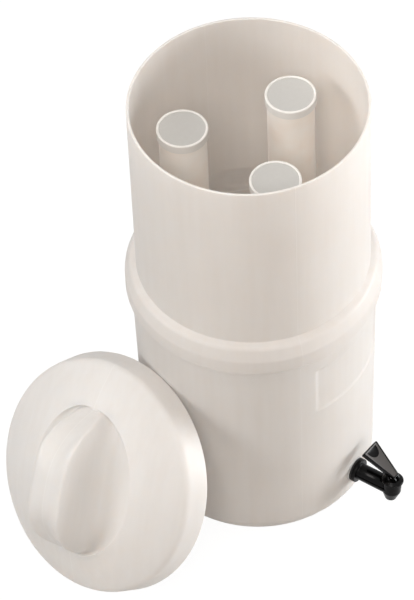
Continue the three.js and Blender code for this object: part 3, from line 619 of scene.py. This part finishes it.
# Upper vessel: a straight drum on a hollow collar, with a plug that goes into the lower rim
upperVessel = {
    "bottom": 268, "seat": 295.8, "bandTop": 313.6, "slopeTop": 337.1, "rim": 568.3,
    "radius": 127.1, "wall": 3, "rimRounding": 1.1, "sides": 256,
    "plugTopRadius": 128.5, "plugBottomRadius": 127, "plugCorner": 10, "plugRoot": 0.5,
    "lipInner": 134.2, "lipEdge": 0.4, "lipRise": 2.8, "lipRounding": 3.4,
    "collarRadius": 140, "shoulderRise": 3.4, "shoulderRounding": 14,
    "kneeRadius": 134.5, "kneeHeight": 331.5, "kneeRounding": 9, "neckDrop": 0.6, "neckRounding": 1,
    "slopeRounding": 7, "hollowRadius": 133.5, "hollowTop": 3, "hollowMiddle": 2, "hollowLip": 0.6,
}


def makeUpperVessel():
    v = upperVessel
    w = v["wall"]
    slope = math.atan2(v["collarRadius"] - v["radius"], v["slopeTop"] - v["bandTop"])
    drop = w * math.tan(slope / 2)
    inner = v["slopeRounding"] - w
    outline = [
        (0, v["bottom"], 0), (v["plugBottomRadius"], v["bottom"], v["plugCorner"]),
        (v["plugTopRadius"], v["seat"], v["plugRoot"]), (v["lipInner"], v["seat"], v["lipEdge"]),
        (v["collarRadius"], v["seat"] + v["lipRise"], v["lipRounding"]),
        (v["collarRadius"], v["bandTop"] + v["shoulderRise"], v["shoulderRounding"]),
        (v["kneeRadius"], v["kneeHeight"], v["kneeRounding"]),
        (v["radius"], v["slopeTop"] - v["neckDrop"], v["neckRounding"]),
        (v["radius"], v["rim"], v["rimRounding"]), (v["radius"] - w, v["rim"], v["rimRounding"]),
        (v["radius"] - w, v["slopeTop"] - drop, v["hollowTop"] * inner),
        (v["hollowRadius"], v["bandTop"] - drop, v["hollowMiddle"] * inner),
        (v["hollowRadius"], v["seat"] + w, inner),
        (v["plugTopRadius"] - w, v["seat"] + w, v["hollowLip"]),
        (v["plugBottomRadius"] - w, v["bottom"] + w, v["plugCorner"] - w), (0, v["bottom"] + w, 0),
    ]
    drum = turnedPiece("upperVesselShell", outline, finish["vesselPolyethylene"], sides=v["sides"])
    wear(drum, "upper", "milky_plastic", "upper_vessel")


makeUpperVessel()
print("upper vessel made")

# Three candles on one pitch circle: every sub-part is turned once and repeated for all three
candles = {
    "copies": 3, "pitchRadius": 71, "firstAngle": -69, "sides": 80, "smallSides": 64, "seatGap": 0.3,
    "ceramicRadius": 25.5, "ceramicWall": 8, "ceramicBottom": 278.1, "ceramicTop": 520.5,
    "capRadius": 27.5, "capTop": 523.8, "capBottom": 513.3, "capCeiling": 520.8,
    "capLip": 2.4, "capLipSlope": 0.4, "capLipHeight": 0.7, "discGap": 0.5, "discThickness": 0.2,
    "mountBottom": 273.8, "mountTop": 287.8, "mountFloor": 277.8,
    "stemBottom": 235.2, "stemRadius": 6, "stemBore": 2.5,
    "gasketRadius": 15, "gasketBottom": 271.3, "gasketTop": 273.5,
    "washerRadius": 13, "washerBottom": 266.1, "washerTop": 267.7,
    "rounding": {
        "ceramic": 0.5, "capInside": 0.3, "capSkirt": 0.2, "capFoot": 0.4, "capEdge": 1.3,
        "capLip": 0.35, "capRecess": 0.3, "disc": 0.1, "stemEnd": 0.7, "stemRoot": 0.2,
        "mountFoot": 1.2, "mountRim": 0.6, "mountCup": 0.3, "gasket": 0.4, "washer": 0.3,
    },
}


# A piece with a bore has an outline that ends where it starts
def closed(*corners):
    return [*corners, corners[0]]


def flatRing(hole, radius, low, high, rounding):
    return closed((hole, low, 0), (radius, low, rounding), (radius, high, rounding), (hole, high, 0))


def makeCandles():
    c, r = candles, candles["rounding"]
    ring = {key: c[key] for key in ("copies", "pitchRadius", "firstAngle")}
    sleeve = c["ceramicRadius"] + c["seatGap"]
    stemHole = c["stemRadius"] + c["seatGap"]
    lipRadius = c["capRadius"] - c["capLip"]
    recess = c["capTop"] - c["capLipHeight"]
    tube = flatRing(
        c["ceramicRadius"] - c["ceramicWall"], c["ceramicRadius"], c["ceramicBottom"], c["ceramicTop"],
        r["ceramic"])
    cap = [
        (0, c["capCeiling"], 0), (sleeve, c["capCeiling"], r["capInside"]),
        (sleeve, c["capBottom"], r["capSkirt"]), (c["capRadius"], c["capBottom"], r["capFoot"]),
        (c["capRadius"], c["capTop"], r["capEdge"]), (lipRadius, c["capTop"], r["capLip"]),
        (lipRadius - c["capLipSlope"], recess, r["capRecess"]), (0, recess, 0),
    ]
    mount = closed(
        (c["stemBore"], c["stemBottom"], 0), (c["stemRadius"], c["stemBottom"], r["stemEnd"]),
        (c["stemRadius"], c["mountBottom"], r["stemRoot"]),
        (c["capRadius"], c["mountBottom"], r["mountFoot"]), (c["capRadius"], c["mountTop"], r["mountRim"]),
        (sleeve, c["mountTop"], r["mountCup"]), (sleeve, c["mountFloor"], r["mountCup"]),
        (c["stemBore"], c["mountFloor"], 0),
    )
    gasket = flatRing(stemHole, c["gasketRadius"], c["gasketBottom"], c["gasketTop"], r["gasket"])
    washer = flatRing(stemHole, c["washerRadius"], c["washerBottom"], c["washerTop"], r["washer"])
    rows = [
        ("ceramic", "slipCastCeramic", "porous_ceramic", c["sides"], tube),
        ("cap", "paleCapPlastic", "pale_plastic", c["sides"], cap),
        ("mount", "paleCapPlastic", "pale_plastic", c["sides"], mount),
        ("gasket", "clearSiliconeRubber", "white_rubber", c["smallSides"], gasket),
        ("washer", "paleCapPlastic", "pale_plastic", c["smallSides"], washer),
    ]
    for kind, material, slot, sides, outline in rows:
        piece = turnedPiece(f"candle_{kind}s", outline, finish[material], sides=sides, **ring)
        if kind == "cap":
            # A thin grey disc in the cap's shallow recess is painted shade, so that the pale rim round it
            # reads as lit
            discRadius = lipRadius - c["discGap"]
            low, high = recess - c["discThickness"], recess + c["discThickness"]
            disc = turnedPiece("paintedShadeDiscs", [
                (0, low, 0), (discRadius, low, 0), (discRadius, high, r["disc"]), (0, high, 0),
            ], finish["capTopPaintedShade"], sides=sides, **ring)
            piece = joined("candle_caps", piece, disc)
        wear(piece, "upper", slot, *[f"candle_{kind}_{i}" for i in (1, 2, 3)])


makeCandles()
print("candles made")

# Lid: one moulded skin from the rim over the dome, down into the pockets and up over the grip
lidShape = {
    "rimRadius": 134.2, "rimSteps": ((0, 0), (0.1, 0.9), (0.3, 3)), "rimBand": 0.5,
    "skirtHeight": 23.2, "skirtDraft": 2.6, "shoulderRadius": 11, "shoulderSweep": 60, "shoulderSteps": 3,
    "domeHeight": 65, "ovalLength": 172, "ovalWidth": 142,
    "pocketDepth": 12, "pocketShift": 1.5, "leftTrim": 7, "sidePower": 2,
    "gripHeight": 114, "gripLength": 166, "gripWidth": 45,
    "archLength": 164, "archPower": 3.92, "planPower": 0.47,
    "wall": 3, "lean": 13, "sides": 80, "smoothing": 2,
    # Shares of the way: across the dome, then (across, down, up) in the pocket
    "domeShares": (0.15, 0.35, 0.6, 0.85, 0.97, 1),
    "pocketShares": (
        (0.03, 0.04, 0), (0.1, 0.15, 0), (0.25, 0.4, 0), (0.42, 0.66, 0.005), (0.58, 0.86, 0.03),
        (0.72, 0.97, 0.09), (0.83, 1, 0.2), (0.91, 1, 0.4), (0.965, 1, 0.7), (1, 1, 0.95),
    ),
    # Shares of the grip's length and width, and how far up the arch they lie
    "crestShares": ((0.97, 0.93, 0.985), (0.8, 0.74, 1), (0.45, 0.42, 1), (0.16, 0.15, 1)),
}


def lidRings():
    s = lidShape
    mix = lambda a, b, share: a + (b - a) * share
    sweep = math.radians(s["shoulderSweep"])
    skirtTop = s["rimRadius"] - s["skirtDraft"]
    shoulderEnd = skirtTop - s["shoulderRadius"] * (1 - math.cos(sweep))
    shoulderHeight = s["skirtHeight"] + s["shoulderRadius"] * math.sin(sweep)
    rise = s["domeHeight"] - shoulderHeight
    domePower = shoulderEnd / math.tan(sweep) / rise
    halfArch = s["archLength"] / 2

    def dome(x, y):
        return shoulderHeight + rise * (1 - min(math.hypot(x, y) / shoulderEnd, 1) ** domePower)

    def arch(x):
        return mix(s["gripHeight"], dome(halfArch, 0), min(abs(x) / halfArch, 1) ** s["archPower"])

    # The pocket is deepest beside the grip and runs out to nothing at the grip's ends
    def pocket(x, y, depthShare):
        fromMiddle = math.hypot(x * s["gripWidth"] / s["gripLength"], y) or 1
        aside = abs(y) / fromMiddle
        return dome(x + s["pocketShift"], y) - s["pocketDepth"] * depthShare * aside ** s["sidePower"]

    # The left half of the oval is a little narrower, so that the grip hides that pocket from the right
    def ring(halfLength, halfWidth, power, heightAt, shift=0.0, trim=0.0):
        points = []
        for i in range(s["sides"]):
            angle = 2 * math.pi * i / s["sides"]
            c, d = math.cos(angle), math.sin(angle)
            x = halfLength * math.copysign(abs(c) ** power, c)
            y = (halfWidth - (trim if d < 0 else 0)) * math.copysign(abs(d) ** power, d)
            points.append(Vector((x + shift, y, heightAt(x, y))))
        return points

    levels = [(s["rimRadius"] - inset, z) for inset, z in s["rimSteps"]] + [(skirtTop, s["skirtHeight"])]
    for step in range(1, s["shoulderSteps"] + 1):
        turn = sweep * step / s["shoulderSteps"]
        radius = skirtTop - s["shoulderRadius"] * (1 - math.cos(turn))
        levels.append((radius, s["skirtHeight"] + s["shoulderRadius"] * math.sin(turn)))
    rings = [ring(radius, radius, 1, lambda x, y, z=z: z) for radius, z in levels]
    ovalX, ovalY = s["ovalLength"] / 2, s["ovalWidth"] / 2
    gripX, gripY = s["gripLength"] / 2, s["gripWidth"] / 2
    for share in s["domeShares"]:
        shift = s["pocketShift"] * share
        rings.append(ring(
            mix(shoulderEnd, ovalX, share), mix(shoulderEnd, ovalY, share), 1,
            lambda x, y, shift=shift: dome(x + shift, y), shift, s["leftTrim"] * share))
    for share, depth, up in s["pocketShares"]:
        rings.append(ring(
            mix(ovalX, gripX, share), mix(ovalY, gripY, share), mix(1, s["planPower"], share),
            lambda x, y, depth=depth, up=up: mix(pocket(x, y, depth), arch(x), up),
            s["pocketShift"], s["leftTrim"] * (1 - share)))
    for length, width, up in s["crestShares"]:
        rings.append(ring(
            length * gripX, width * gripY, s["planPower"],
            lambda x, y, up=up: mix(pocket(x, y, 1), arch(x), up), s["pocketShift"]))
    return rings, Vector((s["pocketShift"], 0, s["gripHeight"]))


# Where the lid leans: its axis from the joint, its place from the CAD lid's rim
def lidPlace():
    s = lidShape
    downhill = (Vector((0, 0, -1)) + lidAxis * lidAxis.z).normalized()
    level = lidAxis.cross(downhill)
    turn = Matrix((downhill, level, lidAxis)).transposed().to_4x4()
    turn = turn @ Matrix.Rotation(math.radians(s["lean"]), 4, "Z")
    corners = [turn.to_3x3().transposed() @ v.co for v in frame["nodes"]["lid"].data.vertices]
    base = min(c.z for c in corners)
    rim = [c for c in corners if c.z < base + s["rimBand"] * mm]
    middle = [(min(c[k] for c in rim) + max(c[k] for c in rim)) / 2 for k in (0, 1)]
    return Matrix.Translation(turn.to_3x3() @ Vector((*middle, base))) @ turn


def makeLid():
    s = lidShape
    rings, crest = lidRings()
    shape = bmesh.new()
    rows = [[shape.verts.new(p * mm) for p in ring] for ring in rings]
    top = shape.verts.new(crest * mm)
    count = s["sides"]
    for lower, upper in zip(rows, rows[1:]):
        for i in range(count):
            j = (i + 1) % count
            shape.faces.new((lower[i], lower[j], upper[j], upper[i]))
    for i in range(count):
        shape.faces.new((rows[-1][i], rows[-1][(i + 1) % count], top))
    for face in shape.faces:
        face.smooth = True
    mesh = bpy.data.meshes.new("lidShell")
    shape.to_mesh(mesh)
    shape.free()
    lid = newPiece("lidShell", mesh)
    skin = lid.modifiers.new("wall", "SOLIDIFY")
    skin.thickness, skin.offset = s["wall"] * mm, -1
    skin.use_even_offset = True
    fine = lid.modifiers.new("smooth", "SUBSURF")
    fine.levels = fine.render_levels = s["smoothing"]
    place = lidPlace()
    along, across = place.col[0].xyz, place.col[1].xyz
    offset = across.dot(place.translation)
    mesh.materials.append(milkyPolyethylene("lidPolyethylene", "lid", across[:], offset, along[:]))
    settle(lid, place)
    wear(lid, "lid", "milky_plastic", "lid")


makeLid()
print("lid made")

# Tap: flange, barrel with side ribs, valve chamber and spout, then bonnet and washers
tap = {
    "shankEnd": 112, "shankRadius": 7.8, "shankBore": 5,
    "flangeInner": 133.2, "flangeOuter": 137.8, "flangeRadius": 14.2,
    "barrelRadius": 9.7, "centre": 179.2,
    "ribWidth": 2.4, "ribProud": 1.1, "ribRoot": 1, "ribBevel": 0.5, "bevelSegments": 2,
    "chamberRadius": 10.8, "chamberTop": 10, "chamberBottom": -4, "chamberBore": 7.4,
    "valveSeat": -6.5, "spoutDrop": -15.8, "spoutBore": 4.2, "spoutLead": 3, "tipRadius": 6.3,
    "bonnetRadius": 12.5, "bonnetBottom": 10.3, "bonnetEdge": 12.5, "bonnetTop": 13.9,
    "bonnetFlat": 8.2, "bonnetPlug": 7.1, "bonnetPlugBottom": 7.3, "stemHole": 2.75,
    "washerRadius": 13.8, "washerHole": 8.1,
    "outerWasher": (131.1, 132.9), "innerWasher": (123.9, 125.7),
    "rounding": {
        "shankEnd": 0.8, "shankRoot": 0.2, "flangeBack": 0.4, "flangeFront": 1.2, "barrelRoot": 1.0,
        "spoutMouth": 0.3, "spoutTip": 2.6, "chamberFoot": 4, "chamberRim": 0.4, "chamberMouth": 0.2,
        "chamberFloor": 0.3, "valveSeat": 0.2,
        "plugEnd": 0.3, "plugRoot": 0.1, "bonnetFoot": 0.4, "bonnetEdge": 1.4, "bonnetTop": 0.4,
        "washer": 0.4,
    },
}


def bevelledBlock(name, low, high, bevel, material, place):
    shape = bmesh.new()
    bmesh.ops.create_cube(shape, size=1)
    size = Vector(high) - Vector(low)
    middle = (Vector(low) + Vector(high)) / 2 * mm
    shape.transform(Matrix.Translation(middle) @ Matrix.Diagonal((*(size * mm), 1)))
    bmesh.ops.bevel(
        shape, geom=shape.edges[:], offset=bevel * mm, segments=tap["bevelSegments"], affect="EDGES",
        profile=0.5)
    mesh = bpy.data.meshes.new(name)
    shape.to_mesh(mesh)
    shape.free()
    mesh.transform(place)
    mesh.materials.append(material)
    return newPiece(name, mesh)


def makeTap():
    t, r = tap, tap["rounding"]
    black = finish["blackAcetal"]
    alongX = tapPlace @ turnedToX
    atValve = tapPlace @ Matrix.Translation((t["centre"] * mm, 0, 0))
    barrel = turnedPiece("tapBarrel", closed(
        (t["shankBore"], t["shankEnd"], 0), (t["shankRadius"], t["shankEnd"], r["shankEnd"]),
        (t["shankRadius"], t["flangeInner"], r["shankRoot"]),
        (t["flangeRadius"], t["flangeInner"], r["flangeBack"]),
        (t["flangeRadius"], t["flangeOuter"], r["flangeFront"]),
        (t["barrelRadius"], t["flangeOuter"], r["barrelRoot"]), (t["barrelRadius"], t["centre"], 0),
        (t["shankBore"], t["centre"], 0),
    ), black, place=alongX)
    ribReach, halfRib = t["barrelRadius"] + t["ribProud"], t["ribWidth"] / 2
    ribs = bevelledBlock(
        "tapRibs", (t["flangeOuter"] - t["ribRoot"], -ribReach, -halfRib), (t["centre"], ribReach, halfRib),
        t["ribBevel"], black, tapPlace)
    chamber = turnedPiece("tapChamber", closed(
        (t["spoutBore"], t["valveSeat"] - t["spoutLead"], 0),
        (t["spoutBore"], t["spoutDrop"], r["spoutMouth"]), (t["tipRadius"], t["spoutDrop"], r["spoutTip"]),
        (t["chamberRadius"], t["chamberBottom"], r["chamberFoot"]),
        (t["chamberRadius"], t["chamberTop"], r["chamberRim"]),
        (t["chamberBore"], t["chamberTop"], r["chamberMouth"]),
        (t["chamberBore"], t["valveSeat"], r["chamberFloor"]),
        (t["spoutBore"], t["valveSeat"], r["valveSeat"]),
    ), black, place=atValve)
    wear(joined("tapBodyMoulding", barrel, ribs, chamber), "base", "black_plastic", "tap_body")
    bonnet = turnedPiece("tapBonnetMoulding", closed(
        (t["stemHole"], t["bonnetPlugBottom"], 0), (t["bonnetPlug"], t["bonnetPlugBottom"], r["plugEnd"]),
        (t["bonnetPlug"], t["bonnetBottom"], r["plugRoot"]),
        (t["bonnetRadius"], t["bonnetBottom"], r["bonnetFoot"]),
        (t["bonnetRadius"], t["bonnetEdge"], r["bonnetEdge"]),
        (t["bonnetFlat"], t["bonnetTop"], r["bonnetTop"]), (t["stemHole"], t["bonnetTop"], 0),
    ), black, place=atValve)
    wear(bonnet, "base", "black_plastic", "tap_bonnet")
    for name, node in (("outerWasher", "tap_outer_washer"), ("innerWasher", "tap_inner_washer")):
        outline = flatRing(t["washerHole"], t["washerRadius"], *t[name], r["washer"])
        washer = turnedPiece(name, outline, finish["blackNitrileRubber"], place=alongX)
        wear(washer, "base", "black_rubber", node)


makeTap()

# The lever and other angular mouldings keep the CAD solid's shape, with their edges softened
fittings = {
    "leverBevel": 0.25, "nutBevel": 0.6, "wingNutBevel": 0.4,
    "flatAngle": 1,             # degrees, under which neighbouring faces are one
    "sharpAngle": 25,           # degrees, over which an edge is softened
    "leverAngle": 31.5,         # degrees that the closed lever's plate leans outwards
    "fieldHeight": (3.8, 4.2),  # where the plate's sunk field lies over the lever's pin
    "fieldFacing": 0.99,
}


def softenedCopy(node, name, width, materials, chooseFace=None):
    shape = bmesh.new()
    shape.from_mesh(frame["nodes"][node].data)
    bmesh.ops.remove_doubles(shape, verts=shape.verts, dist=turning["weld"] * mm)
    bmesh.ops.dissolve_limit(
        shape, angle_limit=math.radians(fittings["flatAngle"]), verts=shape.verts, edges=shape.edges,
        delimit=set())
    for face in shape.faces:
        face.smooth = True
        face.material_index = chooseFace(face) if chooseFace else 0
    mesh = bpy.data.meshes.new(name)
    shape.to_mesh(mesh)
    shape.free()
    for material in materials:
        mesh.materials.append(finish[material])
    piece = newPiece(name, mesh)
    edge = piece.modifiers.new("edge", "BEVEL")
    edge.width, edge.segments = width * mm, tap["bevelSegments"]
    edge.limit_method, edge.angle_limit = "ANGLE", math.radians(fittings["sharpAngle"])
    return settle(piece)


def makeFittings():
    s = fittings
    plateNormal = Matrix.Rotation(math.radians(s["leverAngle"]), 3, tapSide) @ tapUp
    pinPlace = Vector(jointByName["lever_turn"]["pos_m"])
    fieldLow, fieldHigh = s["fieldHeight"]

    # The sunk field of the lever's plate has a spark-eroded texture, and the rest is polished; the field's
    # lighter grey is partly painted sheen
    def leverFinish(face):
        height = (face.calc_center_median() - pinPlace).dot(plateNormal)
        onTop = face.normal.dot(plateNormal) > s["fieldFacing"]
        return 1 if onTop and fieldLow * mm < height < fieldHigh * mm else 0

    blacks = ["blackAcetal", "texturedAcetalPaintedSheen"]
    lever = softenedCopy("tap_lever", "tapLeverMoulding", s["leverBevel"], blacks, leverFinish)
    wear(lever, "lever", "black_plastic", "tap_lever")
    nut = softenedCopy("tap_nut", "tapNutMoulding", s["nutBevel"], blacks[:1])
    wear(nut, "base", "black_plastic", "tap_nut")
    for number in (1, 2, 3):
        node = f"candle_wing_nut_{number}"
        wingNut = softenedCopy(node, f"wingNutMoulding_{number}", s["wingNutBevel"], ["paleCapPlastic"])
        wear(wingNut, "upper", "pale_plastic", node)


makeFittings()
print("tap and fittings made")

# These small valve parts keep their CAD meshes and only get a finish
valveFinish = {
    "valve_stem": "blackAcetal", "valve_seal": "blackNitrileRubber", "lever_pin": "drawnSteel",
}
for node, name in valveFinish.items():
    data = frame["nodes"][node].data
    data.materials.clear()
    data.materials.append(finish[name])


# The spring shortens between the rising stem and the bonnet; its CAD coil is copied as it stands and given
# the steel finish
def makeSpring():
    mesh = frame["nodes"]["valve_spring"].data.copy()
    mesh.name = "valveSpringWire"
    mesh.materials.clear()
    mesh.materials.append(finish["drawnSteel"])
    spring = newPiece("valveSpringWire", mesh)
    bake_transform(spring)
    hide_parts("valve_spring")


makeSpring()
print("valve finished")

# Studio: a white sweep, soft boxes at both sides and overhead, and a warmer one high in front
white = (1, 1, 1, 1)
studio = {
    # Each lamp's place and size in metres, its power in watts and its tint
    "lamps": {
        "leftLamp": ((-2.3, -0.7, 1.5), 1.0, 28, (0.95, 0.98, 1)),
        "leftBackLamp": ((-1.9, 1.2, 2.0), 1.2, 9, (0.96, 0.98, 1)),
        "frontLamp": ((-0.3, -1.8, 2.6), 1.2, 39, (1, 0.95, 0.91)),
        "topLamp": ((-0.1, 0.3, 3.2), 1.4, 30, (1, 0.98, 0.96)),
        "rightLamp": ((2.5, 0.3, 0.5), 1.2, 66, (0.96, 0.98, 1)),
        "rightFrontLamp": ((1.7, -2.1, 0.8), 1.2, 14, (1, 0.98, 0.96)),
    },
    "aim": (0, 0, 0.28),
    "ambient": (0.06, 0.055, 0.05, 1),
    "backdropRays": ("Is Camera Ray", "Is Glossy Ray", "Is Transmission Ray"),
    "floorReach": 6,
    "floorPaper": "#D6D2CE",
    "floorWhite": 0.86,         # the share of plain white in what those rays see of the floor
    "floorGlow": 1.1,
}


def addLamp(name, place, size, power, tint):
    data = bpy.data.lights.new(name, "AREA")
    data.shape, data.size, data.energy, data.color = "SQUARE", size, power, tint
    lamp = bpy.data.objects.new(name, data)
    towards = Vector(studio["aim"]) - Vector(place)
    turn = towards.to_track_quat("-Z", "Y").to_matrix().to_4x4()
    lamp.matrix_world = Matrix.Translation(place) @ turn
    bpy.context.scene.collection.objects.link(lamp)


# Gives 1 for the rays that see the white backdrop, and 0 for those that carry its light
def backdropRays(tree):
    rays = addNode(tree, "ShaderNodeLightPath").outputs
    first, *others = studio["backdropRays"]
    total = rays[first]
    for kind in others:
        total = addNode(tree, "ShaderNodeMath", {
            0: total, 1: rays[kind],
        }, operation="ADD", use_clamp=True)
    return total


def addWorld():
    world = bpy.data.worlds.new("studioWorld")
    bpy.context.scene.world = world
    world.use_nodes = True
    tree = world.node_tree
    tree.nodes.clear()
    sky = addNode(tree, "ShaderNodeMix", {
        "Factor": backdropRays(tree), "A": studio["ambient"], "B": white,
    }, data_type="RGBA")
    light = addNode(tree, "ShaderNodeBackground", {"Color": sky.outputs["Result"]})
    addNode(tree, "ShaderNodeOutputWorld", {"Surface": light})


def addFloor():
    material, tree = newMaterial("whiteSweep")
    share = addNode(tree, "ShaderNodeMath", {
        0: backdropRays(tree), 1: studio["floorWhite"],
    }, operation="MULTIPLY")
    paper = addNode(tree, "ShaderNodeBsdfDiffuse", {"Color": linearColour(studio["floorPaper"])})
    glow = addNode(tree, "ShaderNodeEmission", {"Color": white, "Strength": studio["floorGlow"]})
    mixed = addNode(tree, "ShaderNodeMixShader", {0: share, 1: paper, 2: glow})
    addNode(tree, "ShaderNodeOutputMaterial", {"Surface": mixed})
    mesh = bpy.data.meshes.new("floor")
    far = studio["floorReach"]
    corners = [(-far, -far, 0), (far, -far, 0), (far, far, 0), (-far, far, 0)]
    mesh.from_pydata(corners, [], [(0, 1, 2, 3)])
    mesh.materials.append(material)
    floor = newPiece("floor", mesh)


addWorld()
addFloor()
for name, settings in studio["lamps"].items():
    addLamp(name, *settings)
bpy.context.scene.view_settings.view_transform = "Standard"
print("studio lit")
